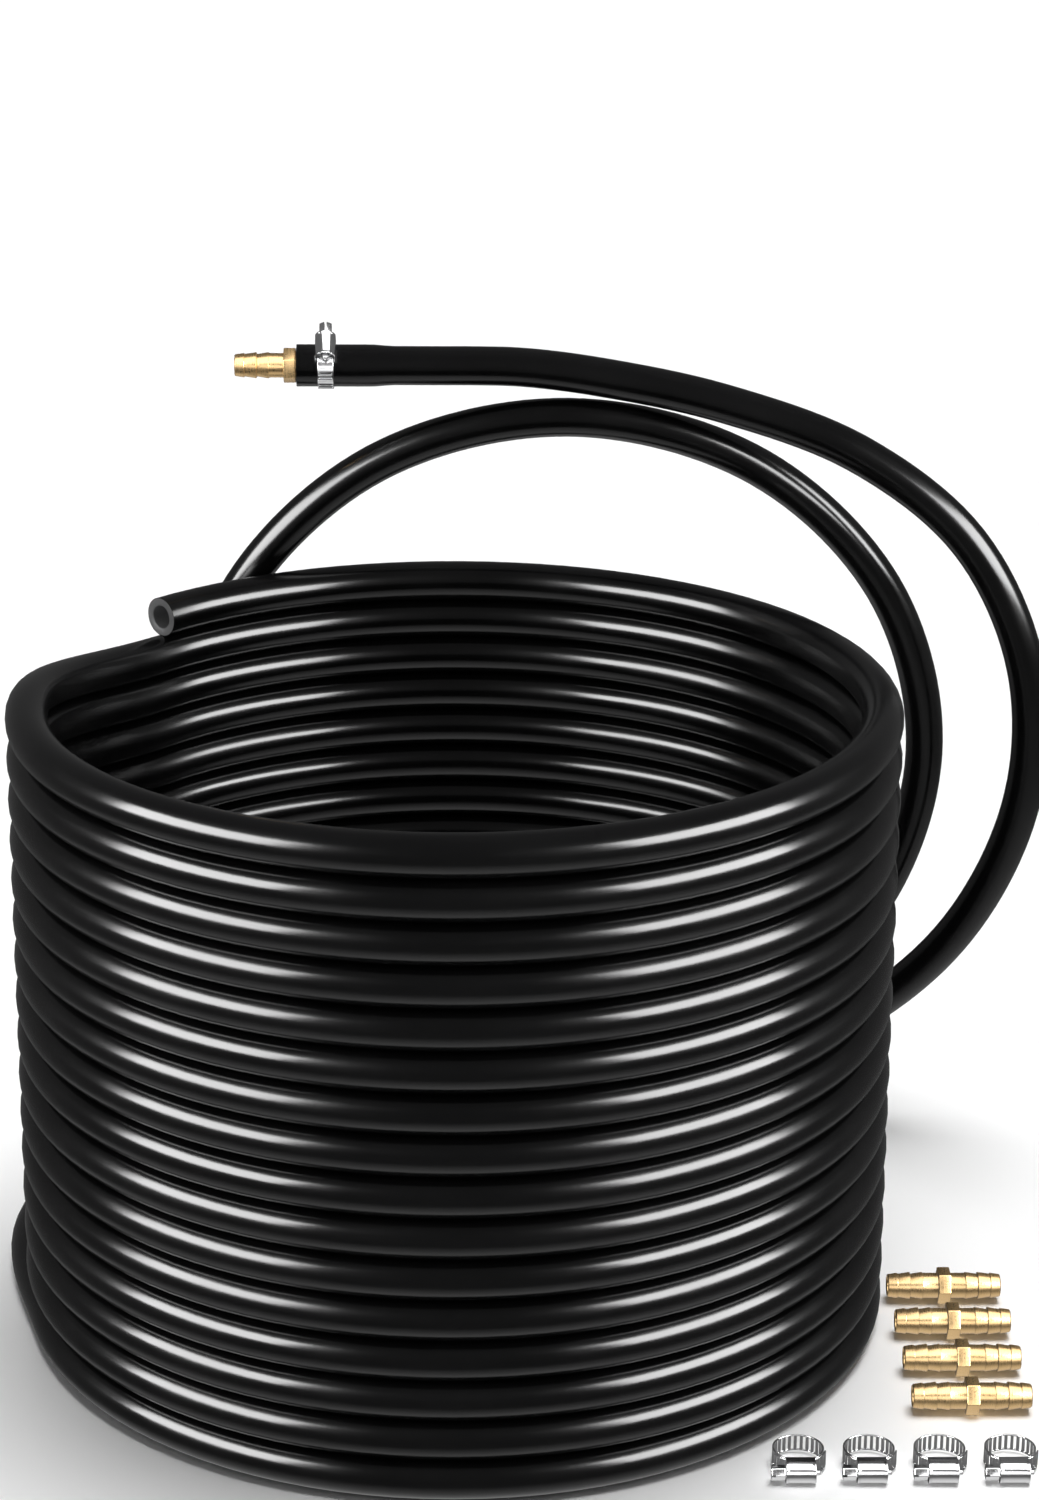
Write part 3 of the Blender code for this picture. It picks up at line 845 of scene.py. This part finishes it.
def housing_shape():
    """The arch drawn in stages with its ends turned out into lips, then given its wall. Its sides stay flat,
    so that a clamp lying on its side rests on the floor."""
    lip = 0.45 * MM
    half = [(0.76, 0.0), (0.84, 0.15 * lip), (0.93, lip * 0.9), (1.0, lip)]
    stages = [(-place, flare) for place, flare in reversed(half)] + half
    bm = bmesh.new()
    edges = []
    for place, flare in stages:
        y = place * HOUSING_HALF_LENGTH
        points = housing_arch(HOUSING_INNER + flare * 0.55, BAND_R + 0.05 * MM)
        verts = [bm.verts.new((x, y, z)) for x, z in points]
        ring = [bm.edges.new(pair) for pair in zip(verts, verts[1:])]
        if edges:
            bmesh.ops.bridge_loops(bm, edges=edges + ring)
        edges = ring
    bmesh.ops.recalc_face_normals(bm, faces=bm.faces)
    middle = Vector((HOUSING_DOME_X, 0.0, 0.0))
    facing = sum(face.normal.dot(face.calc_center_median() - middle) for face in bm.faces)
    if facing < 0:
        bmesh.ops.reverse_faces(bm, faces=bm.faces)
    bmesh.ops.solidify(bm, geom=bm.faces[:], thickness=-HOUSING_WALL)
    side = HOUSING_INNER + HOUSING_WALL
    for vert in bm.verts:
        vert.co.z = max(-side, min(side, vert.co.z))
    bmesh.ops.recalc_face_normals(bm, faces=bm.faces)
    rims = [edge for edge in bm.edges if edge.calc_face_angle(0.0) > math.radians(60.0)]
    bmesh.ops.bevel(bm, geom=rims, offset=0.12 * MM, offset_type="OFFSET", segments=2, profile=0.5,
                    affect="EDGES", material=-1, clamp_overlap=True)
    return bm


# %% Worm screw
def screw_shape():
    """The worm on its own Z, then its slotted head joined on and the slot cut."""
    end = HOUSING_HALF_LENGTH
    outline = [(0.0, -end - 0.6 * MM), (SCREW_CORE_R, -end - 0.6 * MM)]
    ridge = -end + 0.8 * MM
    while ridge < end - 1.5 * MM:
        outline += [(SCREW_CORE_R, ridge), (SCREW_R, ridge + 0.55 * MM), (SCREW_R, ridge + 0.85 * MM),
                    (SCREW_CORE_R, ridge + 1.4 * MM)]
        ridge += THREAD_PITCH
    round_in = 0.25 * MM
    outline += [(SCREW_CORE_R, end - 0.2 * MM), (NUB_R, end), (NUB_R, end + NUB_LENGTH - round_in),
                (NUB_R - round_in, end + NUB_LENGTH), (0.0, end + NUB_LENGTH)]
    core = spun(outline, 32, closed=False)
    head_middle = -end - 0.2 * MM - HEAD_LENGTH / 2
    head = bar(6, HEAD_FLATS, HEAD_LENGTH, 0.28 * MM)
    slot = bmesh.new()
    bmesh.ops.create_cube(slot, size=1.0)
    bmesh.ops.scale(slot, vec=(2 * HEAD_FLATS, 0.9 * MM, 3.0 * MM), verts=slot.verts)
    head_top = head_middle - HEAD_LENGTH / 2
    return combined(core, [("UNION", head, Matrix.Translation((0, 0, head_middle))),
                           ("DIFFERENCE", slot, Matrix.Translation((0, 0, head_top)))])


def stand_along_screw(bm):
    """Turns the screw from its own Z to the clamp's Y, on the screw's line."""
    upright = Matrix.Translation((SCREW_X, 0, 0)) @ Matrix.Rotation(math.radians(-90), 4, "X")
    bmesh.ops.transform(bm, matrix=upright,
                        verts=bm.verts)
    return bm


# %% Clamps into the scene
def clamp_space(name):
    """The clamp's own space, from the joints of its strap and its screw."""
    ring, screw = joints[f"{name}_strap_feed"], joints[f"{name}_screw_turn"]
    centre = Vector(ring["pos_m"])
    z_axis = Vector(ring["axis"]).normalized()
    towards_screw = Vector(screw["pos_m"]) - centre
    x_axis = (towards_screw - z_axis * towards_screw.dot(z_axis)).normalized()
    matrix = Matrix((x_axis, z_axis.cross(x_axis), z_axis)).transposed().to_4x4()
    matrix.translation = centre
    return matrix


def soften(obj, width):
    """Breaks the sharp edges of a pierced strip, so that they catch the light."""
    bevel = obj.modifiers.new("soft_edges", "BEVEL")
    bevel.width = width
    bevel.segments = 2
    bevel.limit_method = "ANGLE"
    bevel.angle_limit = math.radians(50.0)
    return obj


band_pattern = pierced_strip(BAND_R, 0.0, SLOT_COUNT, PLAIN_ARC)
strap_pattern = pierced_strip(STRAP_R, STRAP_FROM, STRAP_SLOTS, -1.0)
housing_pattern = housing_shape()
screw_pattern = stand_along_screw(screw_shape())
for clamp in ("fitted_clamp", "spare_clamp_1", "spare_clamp_2", "spare_clamp_3", "spare_clamp_4"):
    place = clamp_space(clamp)
    parts = [
        ("band", band_pattern, band_steel, clamp),
        ("strap", strap_pattern, band_steel, clamp + "_strap"),
        ("housing", housing_pattern, pressed_steel, clamp),
        ("screw", screw_pattern, screw_steel, clamp + "_screw"),
    ]
    for part, pattern, steel, body in parts:
        node = f"{clamp}_{part}"
        piece = add_piece(node + "_finished", pattern.copy(), place, (steel,), body,
                          (node,))
        fittings.objects.link(piece)
        piece.visible_glossy = clamp == "fitted_clamp"
        if part in ("band", "strap"):
            soften(piece, 0.09 * MM)
for pattern in (band_pattern, strap_pattern, housing_pattern, screw_pattern):
    pattern.free()
